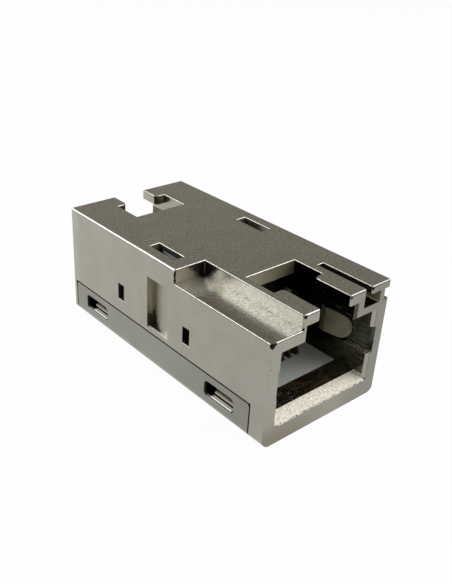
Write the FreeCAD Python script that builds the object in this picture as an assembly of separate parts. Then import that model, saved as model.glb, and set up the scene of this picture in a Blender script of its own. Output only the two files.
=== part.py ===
# Inline coupler that joins two shielded eight-way modular plugs end to end.
# A plated die-cast housing carries a plug port at each end, and a clip-on cover closes it below.
# Inside are two plastic contact carriers, sixteen contact wires, a circuit board and four shield springs.
# Millimetres. X is the width, Y the length with the front port towards -Y, and Z is up.
# The origin lies under the middle of the body, on the surface that the cover rests on.
import FreeCAD, Part
import math
import os

Vector = FreeCAD.Vector

# Body
body_width = 15.2
body_length = 31.2
body_height = 12.5
side_wall = 1.65
corner_radius = 0.2
belly_radius = 0.95
rim_radius = 0.22
edge_radius = 0.14

# Collar of each port, from its face to the shoulders of its latch lugs. The front collar is the longer one.
# Insets are measured inwards from the shoulders of the same port.
front_collar = 4.45
back_collar = 2.51

# Plug guide, with the thickness of the metal above it
guide_floor = 2.3
guide_roof = 3.08
mouth_flare = 0.35
sill_drop = 0.45
sill_depth = 1.4
floor_lead = 0.78

# Latch notch
neck_width = 6.3
lug_gap = 3.9
lug_thickness = 1.15
lug_corner = 0.5
lug_edge_bevel = 0.12
notch_length = 3.57
plate_thickness = 1.47
chamber_length = 6.92

# Long rebate on the left of the top face
rebate_wall = 0.8
rebate_depth = 1.5
rebate_rim_radius = 0.16
rebate_slot_gap = 1.77

# Rail at the front right of the top face
rail_length = 5.95
rail_wall = 0.98
rail_slot_gap = 0.8
rail_flange_thickness = 0.8
rail_web_width = 0.6
rail_groove_depth = 0.75
rail_floor_drop = 2.0

# Slots through the top and windows through the sides
top_slot_width = 1.15
top_slot_length = 3.8
top_slot_inset = 1.88
top_slot_depth = 4.1
side_window_width = 1.05
side_window_height = 1.78
side_window_z = 6.29
side_window_front_inset = 6.54
side_window_back_inset = 6.97

# Retaining pocket in each side, a curved ramp that starts with a faint crease and ends in a square step
pocket_step_offset = 0.58
pocket_length = 3.5
pocket_depth = 1.0
pocket_start_angle = 7.0
pocket_bottom = 4.4
pocket_top = 10.05

# Bottom cover and the skirt that it clips over
cover_front_inset = 1.8
cover_back_inset = 0.55
cover_seam_z = 3.95
cover_wall = 0.75
cover_floor = 0.8
cover_gap = 0.1
seam_gap = 0.16
cover_corner_radius = 0.3
skirt_bottom = 1.0
snap_window_length = 3.75
snap_window_height = 1.33
snap_window_z = 2.23
snap_window_radius = 0.3
snap_window_bevel = 0.18
snap_window_inset = 4.195
snap_ridge_length = 2.7
snap_ridge_shift = 0.1
snap_ridge_drop = 0.11
snap_ridge_reach = 0.42
snap_ridge_height = 0.42
snap_ridge_lip = 0.18
rib_thickness = 0.8
rib_inset = 1.2
rib_side_gap = 0.2

# Shield springs and the recesses that hold them
spring_thickness = 0.2
spring_height = 2.7
spring_z = 6.28
spring_recess_height = 2.98
spring_recess_depth = 0.45
spring_recess_inset = 5.72
spring_tail_inset = 5.52
spring_bend_inset = 3.6
spring_crest_inset = 0.99
spring_crest_reach = 0.4
spring_tip_lead = 1.95
spring_tip_gap = 0.1
spring_tail_bend = 1.0
spring_crest_bend = 0.3

# Circuit board
board_thickness = 0.6
board_clearance = 0.3
board_toe_gap = 0.2
board_rest = 0.35
tail_hole = 0.7
peg_diameter = 1.0
peg_clearance = 0.06
peg_side_inset = 1.05
peg_inset = 3.82

# Contact carriers
carrier_clearance = 0.1
carrier_gap = 0.1
nose_inset = 8.15
toe_inset = 2.72
toe_bottom = 0.95
slot_inset = 2.15
slot_width = 0.66
groove_depth = 1.5
groove_top = 6.5
carrier_board_gap = 0.05

# Contact wires
contact_count = 8
contact_pitch = 1.016
wire_width = 0.42
wire_thickness = 0.3
wire_bend = 0.32
wire_fold = 0.5
wire_slope = 22.0
wire_cover = 0.05
wire_end_gap = 0.2
wire_end_inset = 9.02
tail_near_inset = 6.92
tail_far_inset = 4.92
tail_end_gap = 0.1

# How far a cutting tool stands out past what it cuts, and how far a fused piece reaches into its base
overshoot = 1.0
root = 0.1

half_width = body_width / 2
half_length = body_length / 2
half_guide = half_width - side_wall
guide_top = body_height - guide_roof
guide_middle = (guide_floor + guide_top) / 2
mouth_half = half_guide + mouth_flare
half_neck = neck_width / 2
chamber_top = body_height - plate_thickness
skirt_half = half_width - cover_wall - cover_gap
board_bottom = cover_floor + board_rest
board_top = board_bottom + board_thickness

# Plane that both ports mirror about, and stations measured from it towards either port
core_y = (front_collar - back_collar) / 2
shoulder_station = (body_length - front_collar - back_collar) / 2
floor_station = shoulder_station + floor_lead
toe_station = shoulder_station - toe_inset
slot_station = shoulder_station - slot_inset
nose_station = shoulder_station - nose_inset
board_station = toe_station - board_toe_gap
cover_front_y = cover_front_inset - half_length
cover_back_y = half_length - cover_back_inset


def block(x0, x1, y0, y1, z0, z1):
    return Part.makeBox(x1 - x0, y1 - y0, z1 - z0, Vector(x0, y0, z0))


def prism(points, direction):
    """Solid swept along direction from the closed outline through points."""
    corners = [Vector(*point) for point in points]
    outline = Part.makePolygon(corners + corners[:1])
    return Part.Face(outline).extrude(Vector(*direction))


def taper(y0, rect0, y1, rect1):
    """Solid between two upright rectangles (x0, x1, z0, z1) that stand at y0 and y1."""
    wires = []
    for y, (x0, x1, z0, z1) in ((y0, rect0), (y1, rect1)):
        corners = [Vector(x0, y, z0), Vector(x1, y, z0), Vector(x1, y, z1), Vector(x0, y, z1)]
        wires.append(Part.makePolygon(corners + corners[:1]))
    return Part.makeLoft(wires, True, True)


def both_sides(shape):
    return [shape, shape.mirror(Vector(0, 0, 0), Vector(1, 0, 0))]


def at_front(shape):
    """Moves a piece drawn with the core plane at y = 0 and its port towards -Y to the front port."""
    moved = shape.copy()
    moved.translate(Vector(0, core_y, 0))
    return moved


def at_back(shape):
    return at_front(shape.mirror(Vector(0, 0, 0), Vector(0, 1, 0)))


def rounded_rectangle(x0, x1, y0, y1, radius):
    """Face in the XY plane with rounded corners."""
    face = Part.makePlane(x1 - x0, y1 - y0, Vector(x0, y0, 0))
    solid = face.extrude(Vector(0, 0, 1))
    upright = [edge for edge in solid.Edges if abs(edge.tangentAt(edge.FirstParameter).z) > 0.99]
    rounded = solid.makeFillet(radius, upright)
    return min(rounded.Faces, key=lambda face: face.CenterOfMass.z)


def envelope():
    """Outer form: rounded upright corners, and rounded long edges underneath."""
    plan = rounded_rectangle(-half_width, half_width, -half_length, half_length, corner_radius)
    tower = plan.extrude(Vector(0, 0, body_height))
    bar = block(-half_width, half_width, -half_length, half_length, 0, body_height)
    belly = [edge for edge in bar.Edges if edge.CenterOfMass.z < 0.01 and abs(edge.CenterOfMass.x) > 0.1]
    return tower.common(bar.makeFillet(belly_radius, belly))


def port_tool(collar):
    """Plug guide, flared mouth and latch chamber of one port, drawn about the core plane."""
    mouth = -shoulder_station - collar
    throat = mouth + mouth_flare
    sill_end = mouth + sill_depth
    sill_front = guide_floor - sill_drop
    sill_throat = sill_front + sill_drop * mouth_flare / sill_depth
    guide = block(-half_guide, half_guide, sill_end, overshoot, guide_floor, guide_top)
    sill = taper(throat, (-half_guide, half_guide, sill_throat, guide_top),
                 sill_end, (-half_guide, half_guide, guide_floor, guide_top))
    flare = taper(mouth, (-mouth_half, mouth_half, sill_front, guide_top + mouth_flare),
                  throat, (-half_guide, half_guide, sill_throat, guide_top))
    lug_bottom = body_height - lug_thickness
    shoulder = mouth + collar
    chamber_end = shoulder + chamber_length
    notch_end = shoulder + notch_length
    above = body_height + overshoot
    neck_flare = taper(mouth, (-half_neck - mouth_flare, half_neck + mouth_flare, guide_middle, lug_bottom),
                       throat, (-half_neck, half_neck, guide_middle, lug_bottom))
    neck = block(-half_neck, half_neck, throat, chamber_end, guide_middle, chamber_top)
    under_lug = block(-half_neck, half_neck, throat, shoulder, guide_middle, lug_bottom)
    notch = block(-half_neck, half_neck, shoulder, notch_end, guide_middle, above)
    gap = block(-lug_gap / 2, lug_gap / 2, mouth - overshoot, shoulder, guide_middle, above)
    return guide.multiFuse([sill, flare, neck_flare, neck, under_lug, notch, gap])


def spring_recesses(collar):
    """Recesses for the two shield springs, open at the mouth."""
    low = spring_z - spring_recess_height / 2
    high = spring_z + spring_recess_height / 2
    recess = block(0, half_guide + spring_recess_depth, -shoulder_station - collar - overshoot,
                   spring_recess_inset - shoulder_station, low, high)
    return both_sides(recess)


def rebate_tool():
    rebate_end = core_y - top_slot_length / 2 - rebate_slot_gap
    return block(-half_width - overshoot, -half_neck - rebate_wall, -half_length - overshoot,
                 rebate_end, body_height - rebate_depth, body_height + overshoot)


def rail_tools():
    """Channel and slot inside the rail, and the groove outside it."""
    slot_inner = half_neck + rail_wall
    flange_inner = slot_inner + rail_slot_gap
    web_outer = half_width - rail_groove_depth
    web_inner = web_outer - rail_web_width
    floor = body_height - rail_floor_drop
    flange_bottom = body_height - rail_flange_thickness
    y0 = -half_length - overshoot
    y1 = rail_length - half_length
    channel = block(slot_inner, web_inner, y0, y1, floor, flange_bottom)
    slot = block(slot_inner, flange_inner, y0, y1, floor, body_height + overshoot)
    groove = block(web_outer, half_width + overshoot, y0, y1, floor, flange_bottom)
    return [channel, slot, groove]


def top_slot_tools():
    middle = half_width - top_slot_inset
    slot = block(middle - top_slot_width / 2, middle + top_slot_width / 2,
                 core_y - top_slot_length / 2, core_y + top_slot_length / 2,
                 body_height - top_slot_depth, body_height + overshoot)
    return both_sides(slot)


def side_window_tools():
    tools = []
    front = core_y - shoulder_station + side_window_front_inset
    back = core_y + shoulder_station - side_window_back_inset
    for y in (front, back):
        window = block(0, half_width + overshoot, y - side_window_width / 2, y + side_window_width / 2,
                       side_window_z - side_window_height / 2, side_window_z + side_window_height / 2)
        tools += both_sides(window)
    return tools


def pocket_tools():
    """Retaining pocket: an arc that leaves the side face at a small angle and ends in a square step."""
    step = core_y + pocket_step_offset
    start = step - pocket_length
    chord_angle = math.atan2(pocket_depth, pocket_length)
    half_turn = chord_angle - math.radians(pocket_start_angle)
    bulge = math.hypot(pocket_length, pocket_depth) / 2 * math.tan(half_turn / 2)
    middle = Vector(half_width - pocket_depth / 2 + bulge * math.cos(chord_angle),
                    (start + step) / 2 + bulge * math.sin(chord_angle), pocket_bottom)
    first = Vector(half_width, start, pocket_bottom)
    last = Vector(half_width - pocket_depth, step, pocket_bottom)
    outside = Vector(half_width + overshoot, step, pocket_bottom)
    outside_start = Vector(half_width + overshoot, start, pocket_bottom)
    edges = [Part.Arc(first, middle, last).toShape(), Part.makeLine(last, outside),
             Part.makeLine(outside, outside_start), Part.makeLine(outside_start, first)]
    pocket = Part.Face(Part.Wire(edges)).extrude(Vector(0, 0, pocket_top - pocket_bottom))
    return both_sides(pocket)


def cover_zone_tools():
    """Room for the cover: below the seam outside the skirt, and all the way across underneath."""
    outside = half_width + overshoot
    below = block(-outside, outside, cover_front_y, cover_back_y, -overshoot, skirt_bottom)
    beside = block(skirt_half, outside, cover_front_y, cover_back_y, -overshoot, cover_seam_z)
    return [below] + both_sides(beside)


def snap_stations():
    return [cover_front_y + snap_window_inset, cover_back_y - snap_window_inset]


def snap_ridges():
    """Ridges on the skirt that stand in the cover's windows: a level catch on top and a lead-in slope below."""
    ridges = []
    high = snap_window_z - snap_ridge_drop
    low = high - snap_ridge_height
    foot = skirt_half - root
    crest = skirt_half + snap_ridge_reach
    for station in snap_stations():
        start = station - snap_window_length / 2 + snap_ridge_shift
        profile = [(foot, start, low), (skirt_half, start, low), (crest, start, high - snap_ridge_lip),
                   (crest, start, high), (foot, start, high)]
        ridges += both_sides(prism(profile, (0, snap_ridge_length, 0)))
    return ridges


def round_lugs(shape):
    """Rounds the corners of the latch lugs inside the notch, and bevels their lower edges beside the gap."""
    shoulders = (core_y - shoulder_station, core_y + shoulder_station)
    edges = []
    for edge in shape.Edges:
        box = edge.BoundBox
        upright = box.ZLength > lug_thickness / 2 and box.XLength < 0.01 and box.YLength < 0.01
        beside_gap = abs(abs(box.XMin) - lug_gap / 2) < 0.01
        if upright and beside_gap and min(abs(box.YMin - y) for y in shoulders) < 0.01:
            edges.append(edge)
    shape = shape.makeFillet(lug_corner, edges)
    lug_bottom = body_height - lug_thickness
    edges = []
    for edge in shape.Edges:
        box = edge.BoundBox
        level = abs(box.ZMin - lug_bottom) < 0.01 and abs(box.ZMax - lug_bottom) < 0.01
        if level and abs(abs(box.XMin) - lug_gap / 2) < 0.01 and box.XLength < 0.01:
            edges.append(edge)
    return shape.makeChamfer(lug_edge_bevel, edges)


def flat_edges(shape, height, on_outside):
    """Level edges at a height that lie on the outer walls, or the ones that don't."""
    found = []
    for edge in shape.Edges:
        box = edge.BoundBox
        level = abs(box.ZMin - height) < 0.01 and abs(box.ZMax - height) < 0.01
        beside = abs(box.Center.x) > half_width - corner_radius
        beyond = abs(box.Center.y) > half_length - corner_radius
        if level and (beside or beyond) == on_outside:
            found.append(edge)
    return found


def soften_top(shape):
    """Rounds the rim of the top face and of the rebate floor, then the edges of the openings in the top."""
    shape = shape.makeFillet(rim_radius, flat_edges(shape, body_height, True))
    shape = shape.makeFillet(rebate_rim_radius, flat_edges(shape, body_height - rebate_depth, True))
    inner = [edge for edge in flat_edges(shape, body_height, False) if edge.Length > 3 * edge_radius]
    return shape.makeFillet(edge_radius, inner)


def make_housing():
    tools = []
    for place, collar in ((at_front, front_collar), (at_back, back_collar)):
        tools.append(place(port_tool(collar)))
        for recess in spring_recesses(collar):
            tools.append(place(recess))
    tools.append(block(-half_guide, half_guide, core_y - floor_station, core_y + floor_station,
                       -overshoot, guide_middle))
    tools += cover_zone_tools()
    tools += [rebate_tool()] + rail_tools() + top_slot_tools() + side_window_tools() + pocket_tools()
    body = envelope().cut(tools)
    body = body.multiFuse(snap_ridges()).removeSplitter()
    return soften_top(round_lugs(body))


def finish_cover(cover):
    """Rounds the upper corners of the cover's walls, and bevels its windows outside."""
    corners = []
    for edge in cover.Edges:
        box = edge.BoundBox
        across = abs(box.XLength - cover_wall) < 0.01 and box.YLength < 0.01 and box.ZLength < 0.01
        if across and abs(box.ZMin - cover_seam_z + seam_gap) < 0.01:
            corners.append(edge)
    cover = cover.makeFillet(cover_corner_radius, corners)
    half_window = (snap_window_length + snap_window_height) / 2
    rims = []
    for edge in cover.Edges:
        middle = edge.CenterOfMass
        outside = edge.BoundBox.XLength < 0.01 and abs(abs(middle.x) - half_width) < 0.01
        beside = min(math.hypot(middle.y - y, middle.z - snap_window_z) for y in snap_stations())
        if outside and beside < half_window and edge.BoundBox.ZMin > snap_window_z - snap_window_height:
            rims.append(edge)
    return cover.makeChamfer(snap_window_bevel, rims)


def make_cover():
    """Channel-shaped cover with two windows in each wall and ribs that carry the board."""
    front = cover_front_y + seam_gap
    back = cover_back_y - seam_gap
    slab = block(-half_width, half_width, front, back, 0, cover_seam_z - seam_gap)
    inner_half = half_width - cover_wall
    cover = envelope().common(slab)
    trough = block(-inner_half, inner_half, front - overshoot, back + overshoot, cover_floor, cover_seam_z)
    cover = cover.cut(trough)
    for station in snap_stations():
        outline = rounded_rectangle(station - snap_window_length / 2, station + snap_window_length / 2,
                                    snap_window_z - snap_window_height / 2,
                                    snap_window_z + snap_window_height / 2, snap_window_radius)
        window = outline.extrude(Vector(0, 0, body_width + 2 * overshoot))
        window.rotate(Vector(0, 0, 0), Vector(1, 1, 1), 120)
        window.translate(Vector(-half_width - overshoot, 0, 0))
        cover = cover.cut(window)
    ribs = []
    rib_half = half_guide - board_clearance - rib_side_gap
    for side in (-1, 1):
        middle = core_y + side * (board_station - rib_inset)
        ribs.append(block(-rib_half, rib_half, middle - rib_thickness / 2, middle + rib_thickness / 2,
                          cover_floor - root, board_bottom))
    return finish_cover(cover.multiFuse(ribs).removeSplitter())


def contact_x(index):
    return (index - (contact_count - 1) / 2) * contact_pitch


def tail_station(index):
    """Neighbouring tails stand in two rows, so that their solder joints keep apart."""
    if index % 2 == 0:
        return shoulder_station - tail_near_inset
    return shoulder_station - tail_far_inset


def peg_places():
    """Middles (x, y) of the two pegs of a carrier."""
    x = half_guide - peg_side_inset
    y = peg_inset - shoulder_station
    return [(-x, y), (x, y)]


def drill(radius, x, y, z, depth):
    """Upright twelve-sided tool for a small hole about (x, y)."""
    corners = []
    for number in range(12):
        angle = math.radians(30 * number + 15)
        corners.append((x + radius * math.cos(angle), y + radius * math.sin(angle), z))
    return prism(corners, (0, 0, depth))


def make_board():
    half = half_guide - board_clearance
    board = block(-half, half, core_y - board_station, core_y + board_station, board_bottom, board_top)
    start = board_bottom - overshoot
    depth = board_thickness + 2 * overshoot
    peg_radius = peg_diameter / 2 + peg_clearance
    holes = []
    for place in (at_front, at_back):
        for index in range(contact_count):
            holes.append(place(drill(tail_hole / 2, contact_x(index), -tail_station(index), start, depth)))
        for x, y in peg_places():
            holes.append(place(Part.makeCylinder(peg_radius, depth, Vector(x, y, start))))
    return board.cut(holes)


def make_carrier():
    """Plastic carrier of one port, with a slot for each wire in its floor and a groove in its wall."""
    half = half_guide - carrier_clearance
    front = -floor_station + carrier_clearance
    bottom = board_top + carrier_board_gap
    floor = block(-half, half, front, -carrier_gap, bottom, guide_floor)
    toe = block(-half, half, front, -toe_station, toe_bottom, guide_floor)
    wall = block(-half, half, -nose_station, -carrier_gap, bottom, guide_top - carrier_clearance)
    pegs = []
    peg_length = bottom - board_bottom + root
    for x, y in peg_places():
        pegs.append(Part.makeCylinder(peg_diameter / 2, peg_length, Vector(x, y, board_bottom)))
    carrier = floor.multiFuse([toe, wall] + pegs)
    cuts = []
    for index in range(contact_count):
        x = contact_x(index)
        cuts.append(block(x - slot_width / 2, x + slot_width / 2, -slot_station, groove_depth - nose_station,
                          toe_bottom - overshoot, groove_top))
    return carrier.cut(cuts).removeSplitter()


def left_of(direction):
    return Vector(0, -direction.z, direction.y)


def strip_side(path, bends, offset):
    """Edges that follow a bent centre line in the YZ plane at an offset to its left."""
    edges = []
    start = None
    for number, bend in enumerate(bends, start=1):
        corner = path[number]
        before = (corner - path[number - 1]).normalize()
        after = (path[number + 1] - corner).normalize()
        turn = math.atan2(before.y * after.z - before.z * after.y, before.dot(after))
        side = math.copysign(1, turn)
        reach = bend * math.tan(abs(turn) / 2)
        enter = corner - before * reach
        centre = enter + left_of(before) * bend * side
        middle = (left_of(before) + left_of(after)).normalize()
        halfway = centre - middle * (bend * side - offset)
        enter += left_of(before) * offset
        leave = corner + after * reach + left_of(after) * offset
        if start is None:
            start = path[0] + left_of(before) * offset
        edges.append(Part.makeLine(start, enter))
        edges.append(Part.Arc(enter, halfway, leave).toShape())
        start = leave
    edges.append(Part.makeLine(start, path[-1] + left_of(after) * offset))
    return edges


def strip(points, bends, thickness):
    """Face of a bent strip in the YZ plane, from its centre line's corners (y, z) and their bend radii."""
    path = [Vector(0, y, z) for y, z in points]
    left = strip_side(path, bends, thickness / 2)
    right = strip_side(path, bends, -thickness / 2)
    first = Part.makeLine(left[0].Vertexes[0].Point, right[0].Vertexes[0].Point)
    last = Part.makeLine(left[-1].Vertexes[-1].Point, right[-1].Vertexes[-1].Point)
    outline = Part.Wire(Part.__sortEdges__(left + right + [first, last]))
    return Part.Face(outline)


def make_contact(index):
    """Contact wire: soldered tail, run under the plug, fold, and sprung arm that leans back to the wall."""
    station = tail_station(index)
    run_z = guide_floor - wire_thickness / 2 - wire_cover
    slope = math.radians(wire_slope)
    fold_reach = wire_fold / math.tan(slope / 2)
    fold_front = -slot_station + wire_end_gap + wire_thickness / 2
    corner_y = fold_front + wire_fold - fold_reach
    end_y = wire_end_inset - shoulder_station
    end_z = run_z + (end_y - corner_y) * math.tan(slope)
    path = [(-station, cover_floor + tail_end_gap), (-station, run_z), (corner_y, run_z), (end_y, end_z)]
    wire = strip(path, [wire_bend, wire_fold], wire_thickness).extrude(Vector(wire_width, 0, 0))
    wire.translate(Vector(contact_x(index) - wire_width / 2, 0, 0))
    return wire


def make_shield_spring():
    """Shield spring on the right wall: a flat tail in the recess and a creased tongue with a round end."""
    seat = half_guide + spring_recess_depth - spring_thickness / 2
    crest = half_guide - spring_crest_reach + spring_thickness / 2
    tip = seat - spring_tip_gap
    tip_y = -shoulder_station - spring_tip_lead
    path = [(spring_tail_inset - shoulder_station, seat), (spring_bend_inset - shoulder_station, seat),
            (spring_crest_inset - shoulder_station, crest), (tip_y, tip)]
    leaf = strip(path, [spring_tail_bend, spring_crest_bend], spring_thickness)
    leaf = leaf.extrude(Vector(spring_height, 0, 0))
    leaf.rotate(Vector(0, 0, 0), Vector(0, 1, 0), 90)
    leaf.translate(Vector(0, 0, spring_z + spring_height / 2))
    nose_y = tip_y + spring_height / 2
    low = spring_z - spring_height / 2
    nose = Part.makeCylinder(spring_height / 2, body_width, Vector(-half_width, nose_y, spring_z),
                             Vector(1, 0, 0))
    tail = block(-half_width, half_width, nose_y, 0, low, low + spring_height)
    return leaf.common(nose.fuse(tail))


SUBPARTS = {}


def add(name, shape):
    SUBPARTS[name] = shape


add("housing", make_housing())
add("bottom_cover", make_cover())
add("circuit_board", make_board())
carrier = make_carrier()
add("front_contact_carrier", at_front(carrier))
add("back_contact_carrier", at_back(carrier))
for number in range(contact_count):
    contact = make_contact(number)
    add(f"front_contact_{number + 1}", at_front(contact))
    add(f"back_contact_{number + 1}", at_back(contact))
for side, spring in zip(("right", "left"), both_sides(make_shield_spring())):
    add(f"front_shield_spring_{side}", at_front(spring))
    add(f"back_shield_spring_{side}", at_back(spring))

os.makedirs("parts", exist_ok=True)
for name, shape in SUBPARTS.items():
    print(name, shape.ShapeType, len(shape.Solids), shape.isValid(), round(shape.Volume, 2))
    shape.exportStep(f"parts/{name}.step")
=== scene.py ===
"""Looks of the inline coupler: plated zinc housing and cover, carriers, contacts, springs, light, camera."""
import bpy
import numpy as np
from mathutils import Matrix, Vector


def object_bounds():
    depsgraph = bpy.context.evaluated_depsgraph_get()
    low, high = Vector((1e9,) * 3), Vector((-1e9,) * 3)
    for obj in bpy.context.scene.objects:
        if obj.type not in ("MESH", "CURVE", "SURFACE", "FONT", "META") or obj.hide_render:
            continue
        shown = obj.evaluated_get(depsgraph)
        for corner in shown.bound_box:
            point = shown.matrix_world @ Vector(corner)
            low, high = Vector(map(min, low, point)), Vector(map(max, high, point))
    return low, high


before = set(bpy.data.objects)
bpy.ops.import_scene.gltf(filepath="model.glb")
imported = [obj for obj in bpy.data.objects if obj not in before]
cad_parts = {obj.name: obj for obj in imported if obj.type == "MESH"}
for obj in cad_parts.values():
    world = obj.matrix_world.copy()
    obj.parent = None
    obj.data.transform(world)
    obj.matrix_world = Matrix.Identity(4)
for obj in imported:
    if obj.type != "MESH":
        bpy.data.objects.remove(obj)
cad_box = [list(corner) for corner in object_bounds()]

MM = 0.001

# Camera of the photograph, in millimetres and in the part's own axes
CAMERA_PLACE = (-45.446, -50.443, 43.33)
CAMERA_RIGHT = (0.77474, -0.63137, 0.03397)
CAMERA_DOWN = (-0.28222, -0.39338, -0.87499)
CAMERA_LENS = 45.874
CAMERA_SENSOR = 36.0
CAMERA_SHIFT = (0.0531, 0.0086)
CAMERA_NEAR = 1 * MM
CAMERA_FAR = 10.0

# Sizes of the part that the materials refer to, in millimetres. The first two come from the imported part.
HALF_WIDTH = round(cad_box[1][0] / MM, 3)
HALF_LENGTH = round(cad_box[1][1] / MM, 3)
GUIDE_HALF = 5.95
GUIDE_FLOOR = 2.3
SILL_LENGTH = 1.4
LEDGE_HEIGHT = 4.79

# Chips in the plating of the front face: X, Z and radius in millimetres
CHIPS = (
    (-7.42, 10.78, 0.40),
    (-7.15, 10.88, 0.25),
    (-3.75, 12.28, 0.27),
    (-3.88, 11.12, 0.20),
    (2.1, 12.22, 0.20),
    (5.05, 12.22, 0.22),
    (-7.5, 9.32, 0.09),
    (-7.4, 8.48, 0.09),
    (-7.58, 1.72, 0.12),
    (6.35, 6.0, 0.17),
    (6.75, 6.0, 0.09),
)

# Plating of the housing and the cover, as linear colours like all that follow
ZINC = (0.37, 0.365, 0.335)
ZINC_DULL = (0.35, 0.343, 0.31)
ZINC_COVER = (0.285, 0.29, 0.275)
ZINC_COVER_DULL = (0.268, 0.27, 0.252)
# Painted shade on the foot of the end faces
END_FOOT_SHADE = (0.225, 0.205, 0.165)
# Stains and chips in the plating, and dark lines
STAIN = (0.014, 0.006, 0.004)
# Painted highlight for lit lips and a sheen
LIT_EDGE = (0.85, 0.84, 0.78)

# Ports, latch notches and the rail's channel
# Painted shade in near black for all dark hollows, painted brown reflection and painted olive light in the
# ports
PORT_BLACK = (0.012, 0.010, 0.007)
PORT_BROWN = (0.095, 0.078, 0.045)
PORT_OLIVE = (0.185, 0.185, 0.115)
# Painted dark reflection and glints on the front lugs, and a painted highlight on a crease
LUG_BLACK = (0.008, 0.007, 0.005)
LUG_GLINT = (0.16, 0.15, 0.11)
LUG_CREASE_HIGHLIGHT = (0.55, 0.53, 0.46)
# Painted shade on the rear shoulder
UMBER = (0.075, 0.060, 0.024)
UMBER_PALE = (0.22, 0.20, 0.14)
# Painted olive reflection on the plate behind the front notch
PLATE_OLIVE = (0.25, 0.227, 0.155)
PLATE_DARK = (0.115, 0.103, 0.061)
# Tan web beside the rail
WEB_TAN = (0.34, 0.30, 0.19)
WEB_BROWN = (0.27, 0.24, 0.16)
# Painted shade on the channel's floor, and a painted highlight at its foot
RAIL_FLOOR_SHADE = (0.05, 0.032, 0.018)
RAIL_FOOT_HIGHLIGHT = (0.75, 0.70, 0.55)

# Sills, ledges and the floor of a port
CAST_SILL = (0.82, 0.78, 0.67)
CAST_PIT = (0.16, 0.13, 0.09)
SILL_NICK = (0.14, 0.13, 0.10)
LEDGE_DARK = (0.04, 0.036, 0.024)
LEDGE_PALE = (0.60, 0.57, 0.47)
# Painted shade on the floor behind a sill
FLOOR_SHADE_BLACK = (0.010, 0.008, 0.005)
FLOOR_SHADE_BROWN = (0.062, 0.040, 0.018)
FLOOR_SHADE_LEFT = (0.006, 0.006, 0.005)
FLOOR_SHADE_RIGHT = (0.055, 0.050, 0.032)
# Light specks on that floor
FLOOR_SPECK = (0.34, 0.31, 0.22)

# Rebate
CAST_TAN = (0.215, 0.195, 0.152)
SKIN_BROWN = (0.30, 0.26, 0.19)
SKIN_PALE = (0.68, 0.65, 0.54)
SKIN_SHADE = (0.20, 0.185, 0.135)
SCRATCH = (0.75, 0.72, 0.62)

# Side pockets, slots and what shows through the windows
# Painted reflection and shade in the side pockets
POCKET_TAN = (0.47, 0.43, 0.31)
POCKET_BROWN = (0.33, 0.295, 0.195)
POCKET_STEP = (0.23, 0.215, 0.16)
POCKET_GREY = (0.27, 0.262, 0.212)
POCKET_CORNER_SHADE = (0.03, 0.025, 0.014)
# Painted highlight on the pockets' lip, and its pits
POCKET_LIP_HIGHLIGHT = (0.85, 0.83, 0.75)
POCKET_LIP_PIT = (0.10, 0.08, 0.05)
# Painted light on the skirt at the window ends, and a painted highlight on its catch
SKIRT_FOOT = (0.12, 0.09, 0.055)
SKIRT_PALE = (0.62, 0.61, 0.54)
SKIRT_CATCH = (0.42, 0.41, 0.35)
# Painted reflection and light in the slots, and a grey line on their creases
SLOT_REFLECTION_GREY = (0.34, 0.355, 0.345)
SLOT_END = (0.24, 0.23, 0.17)
SLOT_REAR = (0.11, 0.085, 0.045)
SLOT_CREASE = (0.16, 0.16, 0.14)
# Painted light on the ledge in the cover's windows
WINDOW_LEDGE = (0.72, 0.70, 0.62)

# Plastic, springs, wires and board
GREY_PLASTIC = (0.56, 0.585, 0.545)
GREY_PLASTIC_DULL = (0.36, 0.39, 0.38)
COMB_BLACK = (0.012, 0.012, 0.011)
SPRING_BRONZE = (0.64, 0.62, 0.43)
SPRING_DULL = (0.25, 0.22, 0.16)
# Painted shade at the spring's root
SPRING_ROOT_SHADE = (0.09, 0.045, 0.03)
# Gold of the wires, painted dark as shade
GOLD_WIRE_SHADED = (0.09, 0.055, 0.03)
GOLD_PALE_SHADED = (0.25, 0.17, 0.08)
# Solder on the tails, and the board
SOLDERED = (0.55, 0.54, 0.50)
BOARD_GREEN = (0.02, 0.10, 0.05)
BOARD_PALE = (0.03, 0.14, 0.07)

# Studio
WHITE = (1.0, 1.0, 1.0)
BLACK = (0.0, 0.0, 0.0)
CARD_GREY = (0.375, 0.35, 0.295)
FLOOR_WARM = (1.0, 0.985, 0.91)
FLOOR_DIFFUSE = (0.8, 0.8, 0.8)
FLOOR_SEEN = 0.965
FLOOR_MIRRORED = 0.85
WORLD_AS_LIGHT = 0.4
CARD_AIM = (0, 0, 10)
LAMP_AIM = (0, 0, 8)


def connect(tree, socket, value):
    """Sets a socket to a number, a colour or another node's output."""
    if isinstance(value, bpy.types.NodeSocket):
        tree.links.new(value, socket)
    elif isinstance(value, tuple) and len(value) == 3 and socket.type == "RGBA":
        socket.default_value = (*value, 1.0)
    else:
        socket.default_value = value


def math_node(tree, operation, *values):
    """One arithmetic node. Each value is a number or another node's output."""
    node = tree.nodes.new("ShaderNodeMath")
    node.operation = operation
    for socket, value in zip(node.inputs, values):
        connect(tree, socket, value)
    return node.outputs[0]


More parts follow.
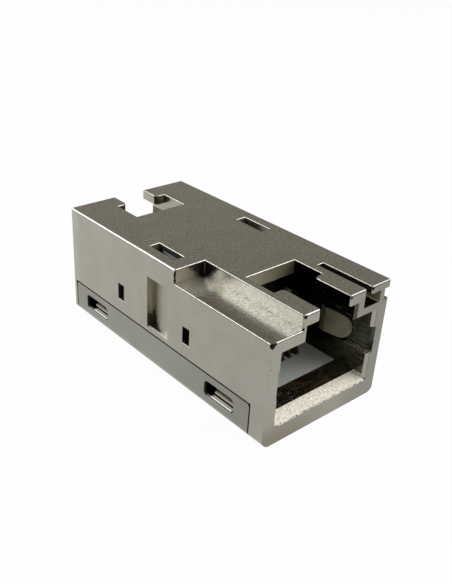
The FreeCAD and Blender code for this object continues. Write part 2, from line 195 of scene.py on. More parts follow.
class Surface:
    """A material under construction, with short calls for the nodes that it is made of."""

    def __init__(self, name):
        self.material = bpy.data.materials.new(name)
        self.material.use_nodes = True
        self.tree = self.material.node_tree
        self.shader = self.tree.nodes["Principled BSDF"]
        coordinates = self.tree.nodes.new("ShaderNodeTexCoord")
        self.place = coordinates.outputs["Object"]
        self.direction = coordinates.outputs["Normal"]

    def finish(self, **values):
        """Sets sockets of the shader by name, with a blank for each underscore."""
        for name, value in values.items():
            connect(self.tree, self.shader.inputs[name.replace("_", " ")], value)

    def plus(self, first, second):
        return math_node(self.tree, "ADD", first, second)

    def minus(self, first, second):
        return math_node(self.tree, "SUBTRACT", first, second)

    def times(self, first, second):
        return math_node(self.tree, "MULTIPLY", first, second)

    def over(self, first, second):
        return math_node(self.tree, "DIVIDE", first, second)

    def size_of(self, value):
        """A value without its sign."""
        return math_node(self.tree, "ABSOLUTE", value)

    def rest_of(self, mask):
        """1 where a mask is 0, and 0 where it is 1."""
        return self.minus(1.0, mask)

    def all_of(self, *masks):
        """Product of several masks."""
        result = masks[0]
        for mask in masks[1:]:
            result = self.times(result, mask)
        return result

    def any_of(self, *masks):
        """The largest of several masks."""
        result = masks[0]
        for mask in masks[1:]:
            result = math_node(self.tree, "MAXIMUM", result, mask)
        return result

    def ramp(self, value, low, high):
        """0 below low, 1 above high, smooth between them. With low above high it falls instead."""
        node = self.tree.nodes.new("ShaderNodeMapRange")
        node.interpolation_type = "SMOOTHSTEP"
        connect(self.tree, node.inputs["Value"], value)
        node.inputs["From Min"].default_value = min(low, high)
        node.inputs["From Max"].default_value = max(low, high)
        node.inputs["To Min"].default_value = 0.0 if low < high else 1.0
        node.inputs["To Max"].default_value = 1.0 if low < high else 0.0
        return node.outputs["Result"]

    def fade(self, value, low, high):
        """As ramp, for a place, with its ends in millimetres."""
        return self.ramp(value, low * MM, high * MM)

    def band(self, value, low, high, soft=0.04):
        """1 where a place lies between low and high millimetres, with soft borders."""
        rise = self.fade(value, low - soft / 2, low + soft / 2)
        fall = self.fade(value, high + soft / 2, high - soft / 2)
        return self.times(rise, fall)

    def box(self, low, high, soft=0.04):
        """1 inside a box given by two corners in millimetres."""
        places = self.axes()
        return self.all_of(*[self.band(places[i], low[i], high[i], soft) for i in range(3)])

    def spot(self, point, radius):
        """1 within a ball about a point in millimetres, fading out to its radius."""
        return self.fade(self.distance(point), radius, 0.4 * radius)

    def axes(self):
        """X, Y and Z of the surface point in metres."""
        return self.parts(self.place)

    def facing(self):
        """X, Y and Z of the surface's own direction."""
        return self.parts(self.direction)

    def parts(self, vector):
        """The three numbers of a vector."""
        node = self.tree.nodes.new("ShaderNodeSeparateXYZ")
        connect(self.tree, node.inputs[0], vector)
        return node.outputs

    def distance(self, point):
        """Distance in metres from a point in millimetres."""
        node = self.tree.nodes.new("ShaderNodeVectorMath")
        node.operation = "DISTANCE"
        connect(self.tree, node.inputs[0], self.place)
        node.inputs[1].default_value = [value * MM for value in point]
        return node.outputs["Value"]

    def noise(self, size, detail=3.0, roughness=0.55, stretch=(1.0, 1.0, 1.0)):
        """Cloudy pattern whose features are about size millimetres across, longer along a small stretch."""
        spread = self.tree.nodes.new("ShaderNodeMapping")
        connect(self.tree, spread.inputs["Vector"], self.place)
        spread.inputs["Scale"].default_value = stretch
        node = self.tree.nodes.new("ShaderNodeTexNoise")
        connect(self.tree, node.inputs["Vector"], spread.outputs["Vector"])
        node.inputs["Scale"].default_value = 1.0 / (size * MM)
        node.inputs["Detail"].default_value = detail
        node.inputs["Roughness"].default_value = roughness
        return node.outputs["Fac"]

    def sway(self, pattern, amount):
        """A pattern about 0.5 turned into one about 0 that spans the amount."""
        return self.times(self.minus(pattern, 0.5), amount)

    def blend(self, amount, first, second):
        """Colour that goes from first to second as amount goes from 0 to 1."""
        node = self.tree.nodes.new("ShaderNodeMix")
        node.data_type = "RGBA"
        connect(self.tree, node.inputs[0], amount)
        connect(self.tree, node.inputs[6], first)
        connect(self.tree, node.inputs[7], second)
        return node.outputs[2]

    def paint(self, colour, mask, shade):
        """A colour, and the shade where the mask is 1."""
        return self.blend(mask, colour, shade)

    def scaled(self, colour, factor):
        """A colour times a number."""
        node = self.tree.nodes.new("ShaderNodeVectorMath")
        node.operation = "SCALE"
        connect(self.tree, node.inputs[0], colour)
        connect(self.tree, node.inputs["Scale"], factor)
        return node.outputs[0]

    def grained(self, colour, grain):
        """Darkens and lightens a colour by fine grain: faintly on upright faces, more on level ones."""
        level = self.plus(self.times(self.size_of(self.facing()[2]), 1.8), 0.2)
        return self.scaled(colour, self.plus(self.sway(grain, level), 1.0))

    def bump(self, height, strength, depth):
        """Relief from a height pattern, depth millimetres deep."""
        node = self.tree.nodes.new("ShaderNodeBump")
        node.inputs["Strength"].default_value = strength
        node.inputs["Distance"].default_value = depth * MM
        connect(self.tree, node.inputs["Height"], height)
        self.finish(Normal=node.outputs["Normal"])


def rim_shade(surface):
    """Factor of painted shade on the flanks of rounded rims, so that only their middle stays bright, with a
    slightly wavy border.
    """
    x, _, z = surface.axes()
    flat = surface.any_of(*[surface.size_of(part) for part in surface.facing()])
    wave = surface.sway(surface.noise(0.45, 3.0, 0.6), 0.16)
    # Painted shade on the flanks of the rims
    rounded = surface.times(surface.ramp(surface.plus(flat, wave), 0.78, 0.86),
                            surface.ramp(flat, 0.998, 0.99))
    left_edge = surface.all_of(surface.fade(x, -7.25, -7.4), surface.fade(z, 12.0, 12.2), 0.75)
    top_rims = surface.times(surface.band(z, 12.2, 12.6), surface.rest_of(left_edge))
    rebate_rims = surface.box((-7.7, -15.7, 10.75), (-3.9, -2.6, 11.05))
    patches = surface.ramp(surface.noise(0.4, 4.0, 0.7), 0.35, 0.65)
    # Painted shade in patches on the rounded parts of the rims
    painted_patches = surface.all_of(surface.ramp(flat, 0.99, 0.84), patches, 0.35)
    dark = surface.any_of(surface.times(rounded, 0.62), painted_patches)
    return surface.rest_of(surface.times(dark, surface.any_of(top_rims, rebate_rims)))


def face_borders(surface, colour):
    """Painted shade on the foot of both end faces and on the right of the front face, and painted light on
    the rear corners of the sides.
    """
    x, y, z = surface.axes()
    nx = surface.facing()[0]
    # Painted shade on the foot of the end faces
    foot = surface.all_of(surface.band(surface.size_of(y), 15.5, 15.7), surface.fade(z, 3.6, 0.2),
                          surface.fade(x, 4.0, -5.5))
    colour = surface.paint(colour, foot, END_FOOT_SHADE)
    # Painted light on the rear corners of the sides
    rear_corner = surface.times(surface.fade(y, 13.6, 15.4), surface.ramp(surface.size_of(nx), 0.7, 0.9))
    colour = surface.paint(colour, rear_corner, surface.scaled(colour, 1.16))
    # Painted shade on the right of the front face
    front_right = surface.times(surface.band(y, -15.7, -15.5), surface.fade(x, 0.0, 5.5))
    return surface.paint(colour, front_right, surface.scaled(colour, 0.72))


def rebate_shade(surface, colour):
    """Tan, rough rear of the rebate, its darker outer floor, a wedge of painted shade, a corner painted
    black as a dark reflection, a faint seam and a scratch.
    """
    x, y, z = surface.axes()
    rebate = surface.box((-7.45, -15.5, 10.9), (-3.9, -2.66, 12.38), 0.06)
    floor = surface.times(rebate, surface.band(z, 10.8, 11.05))
    mottle = surface.noise(0.35, 4.0, 0.65)
    speckle = surface.ramp(surface.noise(0.13, 2.0, 0.7), 0.36, 0.62)

    rear = surface.fade(surface.plus(y, surface.times(mottle, 1.5 * MM)), -6.3, -2.9)
    outer = surface.fade(surface.plus(x, surface.times(mottle, 0.8 * MM)), -4.6, -6.8)
    brown = surface.any_of(surface.times(rear, 0.75), surface.all_of(floor, outer, 0.75))
    colour = surface.paint(colour, surface.times(rebate, brown), CAST_TAN)
    tone = surface.plus(surface.times(speckle, 0.22), 0.88)
    colour = surface.paint(colour, rebate, surface.scaled(colour, tone))

    # Painted shade: a wedge across the floor near the rear
    slant = surface.minus(surface.plus(x, 4.3 * MM), surface.times(surface.plus(y, 3.0 * MM), 0.5))
    slant = surface.plus(slant, surface.sway(mottle, 0.6 * MM))
    wedge = surface.times(surface.fade(slant, 0.15, -0.4), floor)
    bright = surface.fade(surface.minus(-2.8 * MM, y), 0.05, 0.1)
    skin = surface.blend(bright, SKIN_BROWN, SKIN_PALE)
    skin = surface.paint(skin, wedge, SKIN_SHADE)
    near_rear = surface.fade(surface.plus(y, surface.times(mottle, 1.0 * MM)), -6.0, -4.3)
    dull = surface.all_of(rebate, near_rear, 0.85)
    rough_tone = surface.plus(surface.times(speckle, 0.40), 0.78)
    colour = surface.paint(colour, dull, surface.scaled(skin, rough_tone))

    # Painted dark reflection: black in the inner corner of the rebate
    gap = surface.any_of(surface.minus(-3.95 * MM, x), surface.minus(-2.7 * MM, y))
    gap = surface.minus(gap, surface.minus(z, 11.0 * MM))
    gap = surface.plus(gap, surface.sway(speckle, 0.3 * MM))
    corner = surface.times(rebate, surface.fade(gap, 1.25, 0.35))
    colour = surface.paint(colour, corner, PORT_BLACK)

    seam = surface.times(surface.box((-4.02, -14.6, 10.95), (-3.93, -5.2, 11.06), 0.02),
                         surface.ramp(surface.noise(1.2, 2.0), 0.35, 0.5))
    colour = surface.paint(colour, surface.times(seam, 0.13), STAIN)
    arc = surface.distance((-2.74, -3.66, 11.0))
    scratch = surface.all_of(surface.band(arc, 4.66, 4.72, 0.05), surface.band(y, -7.4, -5.6, 0.3), floor)
    return surface.paint(colour, surface.times(scratch, 0.5), SCRATCH), dull


def port_streaks(surface):
    """Streaky pattern across the walls of the ports and the rail's web."""
    return surface.ramp(surface.noise(0.3, 5.0, 0.7, (1.0, 0.3, 1.0)), 0.34, 0.70)


def port_walls(surface, colour):
    """Painted shade and reflection in the ports: near black deep inside, streaky brown more so low down, and
    painted light in olive on the side walls towards the mouth.
    """
    x, y, z = surface.axes()
    across = surface.size_of(x)
    along = surface.size_of(y)
    streaks = port_streaks(surface)
    low = surface.fade(z, 4.7, 2.9)
    brown = surface.times(streaks, surface.plus(surface.times(low, 0.7), 0.3))
    # Painted shade in near black, and painted brown reflection in streaks, more so low down
    port_shade_and_light = surface.blend(brown, PORT_BLACK, PORT_BROWN)
    side_walls = surface.ramp(surface.size_of(surface.facing()[0]), 0.6, 0.75)
    # Painted light in olive on the side walls towards the mouth
    painted_patches = surface.all_of(surface.fade(along, 9.5, 14.5), side_walls,
                          surface.plus(surface.times(streaks, 0.5), 0.4))
    port_shade_and_light = surface.paint(port_shade_and_light, painted_patches, PORT_OLIVE)
    skirt = surface.times(surface.band(across, 6.8, 7.6), surface.band(z, 1.0, 3.4))
    port = surface.all_of(surface.band(across, -1, 7.2), surface.band(z, 1.9, 10.42),
                          surface.band(along, -1, 15.2), surface.rest_of(skirt))
    return surface.paint(colour, port, port_shade_and_light), surface.all_of(port, painted_patches, 0.6)


def latch_notches(surface, colour):
    """Front lugs painted black as a dark reflection with painted glints, painted umber shade on the rear
    shoulder, a painted highlight on a crease and a painted olive reflection on the plate behind the front
    notch.
    """
    x, y, z = surface.axes()
    nx, ny, _ = surface.facing()
    across = surface.size_of(x)
    glint_streaks = surface.ramp(surface.noise(0.16, 3.0, 0.6, (1.0, 0.12, 1.0)), 0.60, 0.70)
    # Painted dark reflection with painted glints on the flanks of the front lugs
    flank = surface.all_of(surface.band(across, 1.5, 3.4), surface.band(z, 9.3, 12.36),
                           surface.band(y, -15.5, -4.0), surface.ramp(surface.size_of(nx), 0.6, 0.75))
    colour = surface.paint(colour, flank, surface.blend(glint_streaks, LUG_BLACK, LUG_GLINT))
    # Painted umber shade on the rear shoulder, paler towards the right
    shoulder = surface.all_of(surface.band(across, 2.1, 3.14, 0.03), surface.band(y, 10.0, 13.5),
                              surface.band(z, 11.0, 12.36), surface.ramp(ny, -0.2, -0.4))
    colour = surface.paint(colour, shoulder, surface.blend(surface.fade(x, 2.2, 3.1), UMBER, UMBER_PALE))
    # Painted highlight on a crease
    crease = surface.box((1.8, -12.6, 11.3), (2.1, -12.5, 12.42), 0.03)
    colour = surface.paint(colour, crease, LUG_CREASE_HIGHLIGHT)
    # Painted olive reflection on the plate, darker towards the right
    plate = surface.times(surface.box((-3.2, -7.75, 10.95), (3.2, -7.4, 12.4)), surface.ramp(ny, -0.6, -0.8))
    colour = surface.paint(colour, plate, surface.blend(surface.fade(x, -1.5, 3.0), PLATE_OLIVE, PLATE_DARK))
    return colour, surface.times(surface.any_of(plate, shoulder), 0.8)


def rail_channel(surface, colour):
    """Tan web with painted shade towards its top, painted shade on the floor and a painted highlight at the
    foot, in the channel beside the rail's web.
    """
    x, _, z = surface.axes()
    nx, _, nz = surface.facing()
    channel = surface.box((4.9, -15.55, 10.4), (6.32, -9.6, 11.76))
    web = surface.times(channel, surface.ramp(nx, -0.6, -0.75))
    tan = surface.blend(port_streaks(surface), WEB_TAN, WEB_BROWN)
    # Painted shade: the web turns black towards its top
    tan = surface.blend(surface.fade(z, 11.25, 11.75), tan, PORT_BLACK)
    colour = surface.paint(colour, web, tan)
    # Painted shade on the channel's floor
    colour = surface.paint(colour, surface.times(channel, surface.ramp(nz, 0.6, 0.75)), RAIL_FLOOR_SHADE)
    # Painted highlight along the foot
    foot = surface.all_of(channel, surface.band(z, 10.40, 10.57, 0.03), surface.band(x, 6.1, 6.3))
    return surface.paint(colour, foot, RAIL_FOOT_HIGHLIGHT), surface.times(web, 0.8)


def port_floors(surface, colour, pits):
    """Ivory cast sills and ledges with pits, and painted shade on the floor behind a sill. Returns their
    masks too.
    """
    x, y, z = surface.axes()
    across = surface.size_of(x)
    along = surface.size_of(y)
    in_port = surface.band(across, -1.0, GUIDE_HALF + 0.03, 0.04)
    sill = surface.all_of(in_port, surface.band(z, GUIDE_FLOOR - 0.48, GUIDE_FLOOR + 0.06),
                          surface.band(along, HALF_LENGTH - SILL_LENGTH - 0.03, HALF_LENGTH + 0.05))
    ledge = surface.all_of(surface.band(across, GUIDE_HALF - 0.02, GUIDE_HALF + 0.55),
                           surface.band(z, LEDGE_HEIGHT - 0.04, LEDGE_HEIGHT + 0.04),
                           surface.band(along, 12.6, 15.3, 0.1))
    cast = surface.any_of(sill, ledge)
    patches = surface.ramp(surface.noise(0.22, 4.0, 0.75), 0.35, 0.65)
    mottled = surface.scaled(CAST_SILL, surface.plus(surface.times(patches, -0.30), 1.12))
    colour = surface.paint(colour, cast, surface.blend(pits, mottled, CAST_PIT))
    flecks = surface.ramp(surface.noise(0.2, 3.0, 0.7), 0.46, 0.58)
    colour = surface.paint(colour, ledge, surface.blend(flecks, LEDGE_DARK, LEDGE_PALE))

    # Painted shade on the floor behind a sill: near black at the left, brown in patches, lighter at the
    # right
    floor = surface.all_of(surface.band(z, 2.2, 2.34), surface.band(along, 11.0, 14.1), in_port)
    floor_patches = surface.ramp(surface.noise(0.4, 4.0, 0.7, (0.4, 1.0, 1.0)), 0.42, 0.66)
    floor_shade = surface.blend(floor_patches, FLOOR_SHADE_BLACK, FLOOR_SHADE_BROWN)
    floor_shade = surface.blend(surface.fade(x, -3.4, 1.0), FLOOR_SHADE_LEFT, floor_shade)
    floor_shade = surface.blend(surface.fade(x, 3.4, 5.4), floor_shade, FLOOR_SHADE_RIGHT)
    colour = surface.paint(colour, floor, floor_shade)
    specks = surface.times(surface.ramp(surface.noise(0.14, 3.0, 0.7), 0.57, 0.63),
                           surface.fade(x, 0.5, -2.0))
    return surface.paint(colour, surface.all_of(floor, specks, 0.8), FLOOR_SPECK), sill, cast, floor


def pocket_shade(surface):
    """Colour of the side pockets, painted reflection and shade: streaky brown at their rear, grey at the
    front, a painted dark shade low in the rear corner and a painted sheen low at the front.
    """
    _, y, z = surface.axes()
    streaks = surface.noise(0.5, 4.0, 0.65, (1.0, 1.0, 0.14))
    # Painted reflection: brown towards the rear, grey towards the front
    rear = surface.fade(surface.plus(y, surface.sway(streaks, 2.2 * MM)), -0.75, 0.55)
    wall = surface.blend(surface.ramp(streaks, 0.38, 0.62), POCKET_TAN, POCKET_BROWN)
    brown = surface.blend(surface.fade(y, 1.45, 1.5), POCKET_STEP, wall)
    colour = surface.blend(rear, POCKET_GREY, brown)
    # Painted shade low in the rear corner
    rise = surface.over(surface.minus(z, 4.45 * MM), 2.1 * MM)
    reach = surface.over(surface.minus(1.54 * MM, y), 2.3 * MM)
    corner = surface.plus(surface.plus(rise, reach), surface.sway(surface.noise(0.5, 5.0, 0.7), 2.6))
    colour = surface.paint(colour, surface.times(surface.ramp(corner, 0.95, 0.55), 0.92), POCKET_CORNER_SHADE)
    # Painted sheen low at the front
    sheen = surface.all_of(surface.fade(z, 5.7, 4.8), surface.fade(y, -0.5, -1.2),
                           surface.ramp(streaks, 0.45, 0.6))
    return surface.paint(colour, sheen, LIT_EDGE)


def side_pockets(surface, colour, pits):
    """The pockets and the pitted lip along their lower edge, with a painted highlight on the lip. Returns
    both masks too.
    """
    x, y, z = surface.axes()
    across = surface.size_of(x)
    pocket = surface.all_of(surface.band(across, 6.5, HALF_WIDTH - 0.04), surface.band(y, -2.0, 1.62),
                            surface.band(z, 4.36, 12.3))
    colour = surface.paint(colour, pocket, pocket_shade(surface))
    # Painted highlight on the lip, with pits
    lip = surface.all_of(surface.band(across, 6.5, HALF_WIDTH - 0.02), surface.band(y, -2.0, 1.54),
                         surface.band(z, 4.35, 4.46), surface.band(across, HALF_WIDTH - 0.3, HALF_WIDTH))
    return surface.paint(colour, lip, surface.blend(pits, POCKET_LIP_HIGHLIGHT, POCKET_LIP_PIT)), pocket, lip


def lit_window_ends(surface):
    """1 towards the front end of each cover window, where the snap ridge and the ledge are lit."""
    y = surface.axes()[1]
    rear_window = surface.times(surface.fade(y, 11.95, 11.55), surface.fade(y, 0.0, 1.0))
    return surface.any_of(surface.fade(y, -8.25, -8.65), rear_window)


def skirt_behind_windows(surface, colour):
    """The skirt behind the cover's windows: painted shade in black, painted light on the lit ends and a
    painted highlight on the catch. Returns the lit mask too.
    """
    x, y, z = surface.axes()
    across = surface.size_of(x)
    skirt = surface.all_of(surface.band(across, 6.7, 7.42), surface.band(z, 1.2, 3.2),
                           surface.band(surface.size_of(y), -1, 14.0))
    shine = surface.times(skirt, lit_window_ends(surface))
    # Painted shade in black, with painted light on the lit ends, darker at the foot
    slope = surface.blend(surface.fade(z, 2.25, 2.55), SKIRT_FOOT, SKIRT_PALE)
    colour = surface.paint(colour, skirt, surface.blend(shine, PORT_BLACK, slope))
    # Painted highlight on the catch
    catch = surface.all_of(shine, surface.band(z, 1.9, 2.16, 0.02), surface.band(across, 6.95, 7.5))
    return surface.paint(colour, catch, SKIRT_CATCH), shine


def slots_and_windows(surface, colour):
    """Painted shade in black on the walls of the top slots and side windows, with painted light and
    reflection on the parts of the slots that are seen lighter.
    """
    x, y, z = surface.axes()
    _, ny, nz = surface.facing()
    upright = surface.ramp(surface.size_of(nz), 0.5, 0.3)
    left_slot = surface.times(surface.box((-6.36, -1.0, 8.3), (-5.08, 2.94, 12.36)), upright)
    right_slot = surface.times(surface.box((5.08, -1.0, 8.3), (6.36, 2.94, 12.36)), upright)
    window = surface.all_of(surface.band(surface.size_of(x), 5.9, 7.47), surface.band(z, 5.0, 9.0),
                            surface.band(surface.size_of(y), 5.0, 11.8))
    slots = surface.any_of(left_slot, right_slot, window)
    # Painted shade in black in the slots and windows
    colour = surface.paint(colour, slots, PORT_BLACK)
    # Painted reflection in grey on a strip of the left slot
    strip = surface.all_of(left_slot, surface.band(y, -1.0, 2.25), surface.band(z, 8.0, 11.88))
    colour = surface.paint(colour, strip, SLOT_REFLECTION_GREY)
    # Painted light at the front end of the right slot
    end = surface.times(right_slot, surface.fade(y, 1.1, -0.4))
    colour = surface.paint(colour, end, SLOT_END)
    # Painted brown reflection on the slots' walls that face the front
    rear = surface.times(surface.any_of(left_slot, right_slot), surface.ramp(ny, -0.6, -0.75))
    colour = surface.paint(colour, rear, SLOT_REAR)
    crease = surface.any_of(surface.box((-4.03, -2.78, 11.05), (-3.90, -2.60, 12.4), 0.03),
                            surface.box((6.22, 2.78, 8.3), (6.36, 2.94, 12.4), 0.03))
    return surface.paint(colour, crease, SLOT_CREASE), surface.any_of(slots, crease), slots


def chips_and_marks(surface, colour, sill):
    """Ragged chips in the plating, a dark line at the rebate's end, a painted highlight on the window lips,
    nicks in the sills.
    """
    x, y, z = surface.axes()
    spots = [surface.spot((across, -HALF_LENGTH, height), radius) for across, height, radius in CHIPS]
    chips = surface.any_of(*spots)
    ragged = surface.plus(chips, surface.sway(surface.noise(0.2), 1.4))
    chips = surface.times(surface.ramp(ragged, 0.42, 0.55), surface.ramp(chips, 0.01, 0.1))
    waver = surface.sway(surface.noise(0.45, 3.0, 0.6), 0.55 * MM)
    edge_line = surface.all_of(surface.band(surface.plus(x, waver), -7.62, -7.44),
                               surface.band(y, -2.86, -2.55), surface.band(z, 11.08, 12.42))
    colour = surface.paint(colour, surface.any_of(chips, edge_line), STAIN)
    # Painted highlight on the window lips
    lips = surface.all_of(surface.band(surface.size_of(x), 7.5, 7.7), surface.band(z, 5.33, 5.46, 0.03),
                          surface.any_of(surface.band(y, -5.2, -4.15), surface.band(y, 5.6, 6.65)))
    colour = surface.paint(colour, surface.times(lips, 0.8), LIT_EDGE)
    nicks = surface.all_of(sill, surface.band(surface.size_of(y), 15.48, 15.7),
                           surface.ramp(surface.noise(0.28, 3.0, 0.7), 0.50, 0.56))
    return surface.paint(colour, nicks, SILL_NICK)


def plated_zinc():
    """Plated die casting: satin metal with fine grain, bright rims with painted shade on their flanks, cast
    sills, painted shade and light in the ports, small chips.
    """
    surface = Surface("plated_zinc")
    y = surface.axes()[1]
    cloud = surface.noise(2.6, 4.0)
    grain = surface.noise(0.26, 5.0, 0.7)
    pits = surface.ramp(surface.noise(0.13, 4.0, 0.75), 0.52, 0.66)

    colour = surface.blend(surface.ramp(cloud, 0.62, 0.38), ZINC, ZINC_DULL)
    colour = surface.paint(colour, surface.fade(y, 9.0, -14.0), surface.scaled(colour, 0.93))
    colour = surface.grained(colour, grain)
    colour = surface.scaled(colour, rim_shade(surface))
    colour = face_borders(surface, colour)
    colour, dull_rebate = rebate_shade(surface, colour)
    colour, dull_walls = port_walls(surface, colour)
    colour, dull_notches = latch_notches(surface, colour)
    colour, dull_web = rail_channel(surface, colour)
    colour, sill, cast, floor = port_floors(surface, colour, pits)
    colour, pocket, lip = side_pockets(surface, colour, pits)
    colour, shine = skirt_behind_windows(surface, colour)
    colour, dull_slots, slots = slots_and_windows(surface, colour)
    colour = chips_and_marks(surface, colour, sill)

    matt = surface.any_of(surface.times(cast, 0.5), surface.times(pocket, 0.8), surface.times(shine, 0.8),
                          surface.times(floor, 0.7), lip, dull_rebate, dull_walls, dull_notches, dull_web,
                          dull_slots)
    rough = surface.plus(surface.times(grain, 0.08), 0.17)
    rear_skin = surface.box((-7.5, -5.5, 10.9), (-3.9, -2.6, 12.4), 1.5)
    rough = surface.plus(rough, surface.times(rear_skin, 0.05))
    rough = surface.plus(rough, surface.times(surface.any_of(cast, slots, lip), 0.4))
    rough = surface.plus(rough, surface.times(pocket, 0.16))
    surface.finish(Base_Color=colour, Metallic=surface.rest_of(matt), Roughness=rough)
    surface.bump(surface.plus(grain, surface.times(surface.times(cast, pits), -2.0)), 0.4, 0.010)
    return surface.material


def plated_cover():
    """Plating of the cover, cooler than the housing's, with painted shade on its window bevels and inside
    its windows, and painted light on a ledge in its windows.
    """
    surface = Surface("plated_zinc_cover")
    x, y, z = surface.axes()
    nx, ny, nz = [surface.size_of(part) for part in surface.facing()]
    across = surface.size_of(x)
    cloud = surface.noise(3.2, 4.0)
    grain = surface.noise(0.26, 5.0, 0.7)
    colour = surface.blend(surface.ramp(cloud, 0.62, 0.38), ZINC_COVER, ZINC_COVER_DULL)
    colour = surface.paint(colour, surface.fade(y, -2.0, -13.0), surface.scaled(colour, 0.88))
    colour = surface.grained(colour, grain)
    bevel = surface.all_of(surface.band(across, 7.3, 7.595), surface.ramp(nx, 0.93, 0.85),
                           surface.band(z, 1.2, 3.2))
    rear_bevel = surface.times(bevel, surface.ramp(ny, 0.3, 0.6))
    ledge = surface.all_of(surface.band(across, 7.04, 7.46, 0.08), surface.band(z, 1.5, 1.6),
                           surface.ramp(nz, 0.6, 0.8), lit_window_ends(surface))
    inside = surface.times(surface.band(across, 5.0, 7.40), surface.band(z, 1.0, 3.6))
    # Painted shade on the bevels and inside the windows
    colour = surface.paint(colour, bevel, surface.scaled(colour, 0.10))
    colour = surface.paint(colour, surface.any_of(inside, rear_bevel), PORT_BLACK)
    # Painted light on the ledge at the lit window ends
    colour = surface.paint(colour, ledge, WINDOW_LEDGE)
    rough = surface.plus(surface.times(grain, 0.08), 0.18)
    surface.finish(Base_Color=colour, Metallic=surface.rest_of(ledge), Roughness=rough)
    surface.bump(grain, 0.3, 0.008)
    return surface.material


def moulded_plastic():
    """Light grey moulded shelf with a fine spark-eroded texture, and the comb wall behind it coloured near
    black above the shelf's level.
    """
    surface = Surface("grey_plastic")
    z = surface.axes()[2]
    cloud = surface.noise(1.8, 3.0)
    grain = surface.noise(0.12, 2.0, 0.6)
    colour = surface.blend(surface.times(cloud, 0.25), GREY_PLASTIC, GREY_PLASTIC_DULL)
    comb = surface.fade(z, GUIDE_FLOOR + 0.05, GUIDE_FLOOR + 0.12)
    colour = surface.paint(colour, comb, COMB_BLACK)
    surface.finish(Base_Color=colour, Roughness=surface.plus(surface.times(grain, 0.2), 0.34))
    surface.bump(grain, 0.3, 0.01)
    return surface.material


def sprung_bronze():
    """Rolled spring strip with fine lines along its length, with painted shade in reddish brown, then black,
    towards its root.
    """
    surface = Surface("spring_bronze")
    along = surface.size_of(surface.axes()[1])
    lines = surface.noise(0.08, 2.0, 0.5, (1.0, 0.08, 1.0))
    cloud = surface.noise(1.2, 3.0)
    colour = surface.blend(cloud, SPRING_BRONZE, SPRING_DULL)
    # Painted shade towards the root: reddish brown, then black
    colour = surface.paint(colour, surface.fade(along, 9.52, 9.42), SPRING_ROOT_SHADE)
    colour = surface.paint(colour, surface.fade(along, 9.25, 9.15), PORT_BLACK)
    surface.finish(Base_Color=colour, Metallic=0.75, Roughness=surface.plus(surface.times(lines, 0.2), 0.22))
    surface.bump(lines, 0.25, 0.006)
    return surface.material


def gold_plated_wire():
    """Gold over nickel on the bent contact wires, painted dark as shade, and duller towards the soldered
    tail.
    """
    surface = Surface("gold_wire")
    z = surface.axes()[2]
    cloud = surface.noise(0.6, 3.0)
    # The gold is painted dark as shade
    colour = surface.blend(surface.times(cloud, 0.4), GOLD_WIRE_SHADED, GOLD_PALE_SHADED)
    colour = surface.paint(colour, surface.fade(z, 1.9, 1.4), SOLDERED)
    surface.finish(Base_Color=colour, Metallic=1.0, Roughness=surface.plus(surface.times(cloud, 0.15), 0.18))
    return surface.material


def masked_board():
    """Solder mask over glass cloth, with a faint weave."""
    surface = Surface("circuit_board")
    cloud = surface.noise(1.5, 3.0)
    weave = surface.noise(0.15, 1.0, 0.5, (1.0, 0.4, 1.0))
    colour = surface.blend(cloud, BOARD_GREEN, BOARD_PALE)
    surface.finish(Base_Color=colour, Roughness=surface.plus(surface.times(weave, 0.2), 0.3))
    surface.bump(weave, 0.2, 0.01)
    return surface.material


def dress(material, *names):
    """Gives the named nodes a finish."""
    for name in names:
        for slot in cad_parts[name].material_slots:
            slot.material = material


def panel(name, centre, size, aim=(0, 0, 0)):
    """Flat rectangle about a centre, facing a point. Millimetres.

    Its surface is centre + u * side + v * up, with u and v up to half the size either way from 0.
    """
    back = (Vector(centre) - Vector(aim)).normalized()
    side = back.cross(Vector((0, 0, 1))).normalized()
    if side.length < 0.5:
        side = Vector((1, 0, 0))
    up = side.cross(back)
    reach = np.array([(-1, -1), (1, -1), (1, 1), (-1, 1)]) * np.array(size) / 2
    corners = (np.array(centre) + reach @ np.array([tuple(side), tuple(up)])) * MM
    mesh = bpy.data.meshes.new(name)
    mesh.from_pydata(corners.tolist(), [], [(0, 1, 2, 3)])
    piece = bpy.data.objects.new(name, mesh)
    bpy.context.collection.objects.link(piece)
    return piece


def studio_floor():
    """White floor: nearly shadeless when seen or mirrored, and a plain white bounce to everything else."""
    floor = panel("floor", (0, 0, 0), (4000, 4000), (0, 0, -1))
    material = bpy.data.materials.new("studio_floor")
    material.use_nodes = True
    tree = material.node_tree
    tree.nodes.clear()
    light = tree.nodes.new("ShaderNodeLightPath").outputs
    plain = tree.nodes.new("ShaderNodeBsdfDiffuse")
    plain.inputs["Color"].default_value = (*FLOOR_DIFFUSE, 1.0)
    tone = tree.nodes.new("ShaderNodeMix")
    tone.data_type = "RGBA"
    connect(tree, tone.inputs[0], light["Is Glossy Ray"])
    connect(tree, tone.inputs[6], WHITE)
    connect(tree, tone.inputs[7], FLOOR_WARM)
    glow = tree.nodes.new("ShaderNodeEmission")
    connect(tree, glow.inputs["Color"], tone.outputs[2])
    direct = math_node(tree, "MAXIMUM", light["Is Camera Ray"], light["Is Transmission Ray"])
    seen = math_node(tree, "MULTIPLY", direct, FLOOR_SEEN)
    glowing = math_node(tree, "MULTIPLY_ADD", light["Is Glossy Ray"], FLOOR_MIRRORED, seen)
    mix = tree.nodes.new("ShaderNodeMixShader")
    connect(tree, mix.inputs[0], glowing)
    connect(tree, mix.inputs[1], plain.outputs[0])
    connect(tree, mix.inputs[2], glow.outputs[0])
    end = tree.nodes.new("ShaderNodeOutputMaterial")
    connect(tree, end.inputs["Surface"], mix.outputs[0])
    floor.data.materials.append(material)


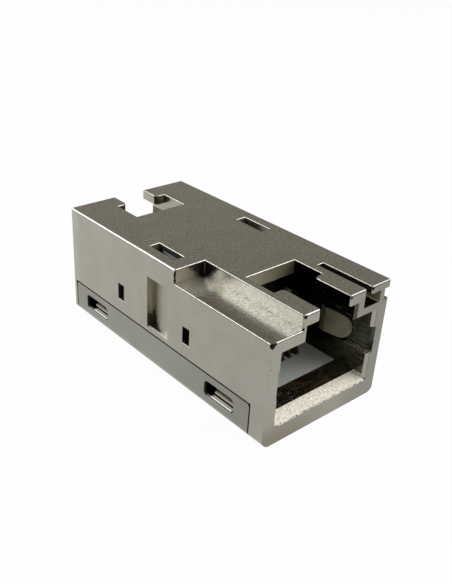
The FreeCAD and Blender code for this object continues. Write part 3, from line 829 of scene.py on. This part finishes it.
def studio_card(name, centre, size, colour):
    """Matt card that only the metal mirrors. It throws no shadow and lights nothing."""
    card = panel(name, centre, size, CARD_AIM)
    material = bpy.data.materials.new(name)
    material.use_nodes = True
    shader = material.node_tree.nodes["Principled BSDF"]
    shader.inputs["Base Color"].default_value = (*BLACK, 1.0)
    shader.inputs["Roughness"].default_value = 1.0
    shader.inputs["Specular IOR Level"].default_value = 0.0
    shader.inputs["Emission Color"].default_value = (*colour, 1.0)
    shader.inputs["Emission Strength"].default_value = 1.0
    card.data.materials.append(material)
    card.visible_camera = False
    card.visible_diffuse = False
    card.visible_shadow = False
    card.visible_transmission = False


def softbox(name, place, size, power):
    """Oblong lamp at a place in millimetres, turned to the part."""
    data = bpy.data.lights.new(name, "AREA")
    data.shape = "RECTANGLE"
    data.size = size[0] * MM
    data.size_y = size[1] * MM
    data.energy = power
    lamp = bpy.data.objects.new(name, data)
    bpy.context.collection.objects.link(lamp)
    lamp.location = Vector(place) * MM
    lamp.rotation_euler = (Vector(place) - Vector(LAMP_AIM)).to_track_quat("Z", "Y").to_euler()
    lamp.visible_camera = False


def pale_world():
    """White to the camera, in reflections and through glass, and a softer white as light."""
    world = bpy.data.worlds.new("pale_world")
    bpy.context.scene.world = world
    world.use_nodes = True
    tree = world.node_tree
    background = tree.nodes["Background"]
    background.inputs["Color"].default_value = (*WHITE, 1.0)
    light = tree.nodes.new("ShaderNodeLightPath").outputs
    shown = math_node(tree, "MAXIMUM", light["Is Camera Ray"], light["Is Glossy Ray"])
    shown = math_node(tree, "MAXIMUM", shown, light["Is Transmission Ray"])
    strength = tree.nodes.new("ShaderNodeMapRange")
    connect(tree, strength.inputs["Value"], shown)
    strength.inputs["To Min"].default_value = WORLD_AS_LIGHT
    strength.inputs["To Max"].default_value = 1.0
    connect(tree, background.inputs["Strength"], strength.outputs["Result"])


def photo_camera():
    """Camera where the photograph was taken from."""
    data = bpy.data.cameras.new("photo_camera")
    data.sensor_width = CAMERA_SENSOR
    data.lens = CAMERA_LENS
    data.shift_x, data.shift_y = CAMERA_SHIFT
    data.clip_start = CAMERA_NEAR
    data.clip_end = CAMERA_FAR
    camera = bpy.data.objects.new("photo_camera", data)
    bpy.context.collection.objects.link(camera)
    right = Vector(CAMERA_RIGHT)
    up = -Vector(CAMERA_DOWN)
    turn = Matrix((right, up, right.cross(up))).transposed().to_4x4()
    camera.matrix_world = Matrix.Translation(Vector(CAMERA_PLACE) * MM) @ turn
    bpy.context.scene.camera = camera


contacts = [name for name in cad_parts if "_contact_" in name and not name.endswith("_carrier")]
springs = [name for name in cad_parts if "_shield_spring_" in name]
dress(plated_zinc(), "housing")
dress(plated_cover(), "bottom_cover")
dress(moulded_plastic(), "front_contact_carrier", "back_contact_carrier")
dress(sprung_bronze(), *springs)
dress(gold_plated_wire(), *contacts)
dress(masked_board(), "circuit_board")

studio_floor()
studio_card("grey_card_behind", (190, 210, 130), (330, 210), CARD_GREY)
studio_card("black_card_in_front", (-160, -175, 130), (170, 135), BLACK)
softbox("softbox_right", (150, -130, 160), (200, 200), 0.50)
softbox("softbox_left", (-150, 170, 130), (200, 160), 0.42)
pale_world()
photo_camera()
bpy.context.scene.view_settings.view_transform = "Standard"
